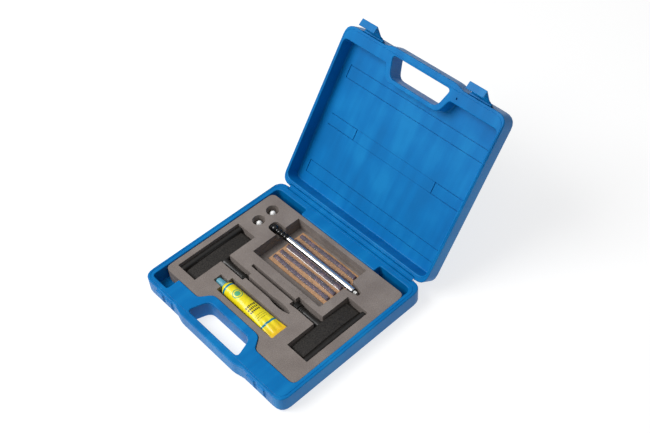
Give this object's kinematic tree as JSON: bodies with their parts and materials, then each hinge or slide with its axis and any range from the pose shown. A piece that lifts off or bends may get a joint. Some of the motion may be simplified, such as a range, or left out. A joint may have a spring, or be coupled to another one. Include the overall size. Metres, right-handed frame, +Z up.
{
  "type": "tyre plug repair kit with insertion tool",
  "caption": "Moulded carry case, open, with a foam insert holding a T-handled plug insertion tool, a T-handled reamer, a pen gauge, a cement tube, plug strings and valve caps.",
  "frame": {"origin": "centre of the flat underside of the case's base", "axes": "+Z up out of the open case, +Y from the carry handle to the hinge, +X to the right along the hinge line"},
  "size_m": [0.258, 0.3817, 0.2326],
  "materials": {
    "case_blue": "blow-moulded polyethylene, satin with a fine grain",
    "foam": "die-cut polyethylene foam, matt with fine cells",
    "black_plastic": "moulded plastic with a stippled surface",
    "gauge_black": "moulded plastic, satin",
    "tool_steel": "drawn steel",
    "chrome": "polished chrome plate",
    "rubber": "matt",
    "white_plastic": "satin",
    "tube_yellow": "printed enamel on a soft metal tube, satin",
    "cap_teal": "satin moulded plastic",
    "plug_rubber": "tacky cord impregnated with rubber, matt",
    "sheet_tan": "waxed release sheet"
  },
  "bodies": {
    "base": {"base_shell": "case_blue", "foam_liner": "foam", "foam_lower_layer": "foam", "foam_upper_layer": "foam", "living_hinge": "case_blue"},
    "lid": {"lid_shell": "case_blue"},
    "left_latch": {"latch_left": "case_blue"},
    "right_latch": {"latch_right": "case_blue"},
    "insertion_tool": {"insertion_tool_handle": "black_plastic", "insertion_tool_collar": "black_plastic", "insertion_tool_needle": "tool_steel"},
    "reamer": {"reamer_handle": "black_plastic", "reamer_collar": "black_plastic", "reamer_rasp": "tool_steel"},
    "gauge": {"gauge_head": "gauge_black", "gauge_head_seal": "rubber", "gauge_valve_pin": "tool_steel", "gauge_neck": "gauge_black", "gauge_barrel": "chrome", "gauge_end_bush": "gauge_black", "gauge_spring": "tool_steel"},
    "gauge_bar": {"gauge_indicator_bar": "white_plastic"},
    "gauge_plunger": {"gauge_piston": "rubber"},
    "cement_tube": {"cement_tube_body": "tube_yellow"},
    "tube_cap": {"cement_tube_cap": "cap_teal"},
    "plug_pack": {"plug_backing_sheet": "sheet_tan", "plug_string_1": "plug_rubber", "plug_string_2": "plug_rubber", "plug_string_3": "plug_rubber", "plug_string_4": "plug_rubber", "plug_string_5": "plug_rubber"},
    "cap_1": {"valve_cap_1": "white_plastic"},
    "cap_2": {"valve_cap_2": "white_plastic"}
  },
  "joints": [
    {"name": "lid_hinge", "type": "hinge", "parent": "base", "child": "lid", "pos_m": [0, 0.1139, 0.02515], "axis": [-1, 0, 0], "range_deg": [-125.5, 54.5], "deforming": ["living_hinge"]},
    {"name": "left_latch_hinge", "type": "hinge", "parent": "lid", "child": "left_latch", "pos_m": [-0.086, 0.25006, 0.20821], "axis": [-1, 0, 0], "range_deg": [-22, 80]},
    {"name": "right_latch_hinge", "type": "hinge", "parent": "lid", "child": "right_latch", "pos_m": [0.086, 0.25006, 0.20821], "axis": [-1, 0, 0], "range_deg": [-22, 80]},
    {"name": "insertion_tool_lift", "type": "slide", "parent": "base", "child": "insertion_tool", "axis": [0, 0, 1], "range_m": [0, 0.06]},
    {"name": "reamer_lift", "type": "slide", "parent": "base", "child": "reamer", "axis": [0, 0, 1], "range_m": [0, 0.06]},
    {"name": "gauge_lift", "type": "slide", "parent": "base", "child": "gauge", "axis": [0, 0, 1], "range_m": [0, 0.06]},
    {"name": "gauge_bar_slide", "type": "slide", "parent": "gauge", "child": "gauge_bar", "axis": [1, 0, 0], "range_m": [0, 0.004], "deforming": ["gauge_spring"]},
    {"name": "gauge_piston_slide", "type": "slide", "parent": "gauge", "child": "gauge_plunger", "axis": [1, 0, 0], "range_m": [0, 0.004]},
    {"name": "cement_tube_lift", "type": "slide", "parent": "base", "child": "cement_tube", "axis": [0, 0, 1], "range_m": [0, 0.06]},
    {"name": "tube_cap_turn", "type": "hinge", "parent": "cement_tube", "child": "tube_cap", "pos_m": [-0.055, -0.05, 0.0176], "axis": [-1, 0, 0], "range_deg": [0, 720]},
    {"name": "plug_pack_lift", "type": "slide", "parent": "base", "child": "plug_pack", "axis": [0, 0, 1], "range_m": [0, 0.005]},
    {"name": "valve_cap_1_lift", "type": "slide", "parent": "base", "child": "cap_1", "axis": [0, 0, 1], "range_m": [0, 0.06]},
    {"name": "valve_cap_2_lift", "type": "slide", "parent": "base", "child": "cap_2", "axis": [0, 0, 1], "range_m": [0, 0.06]}
  ],
  "couplings": [
    {"joint": "gauge_piston_slide", "follows": "gauge_bar_slide", "ratio": 1}
  ]
}
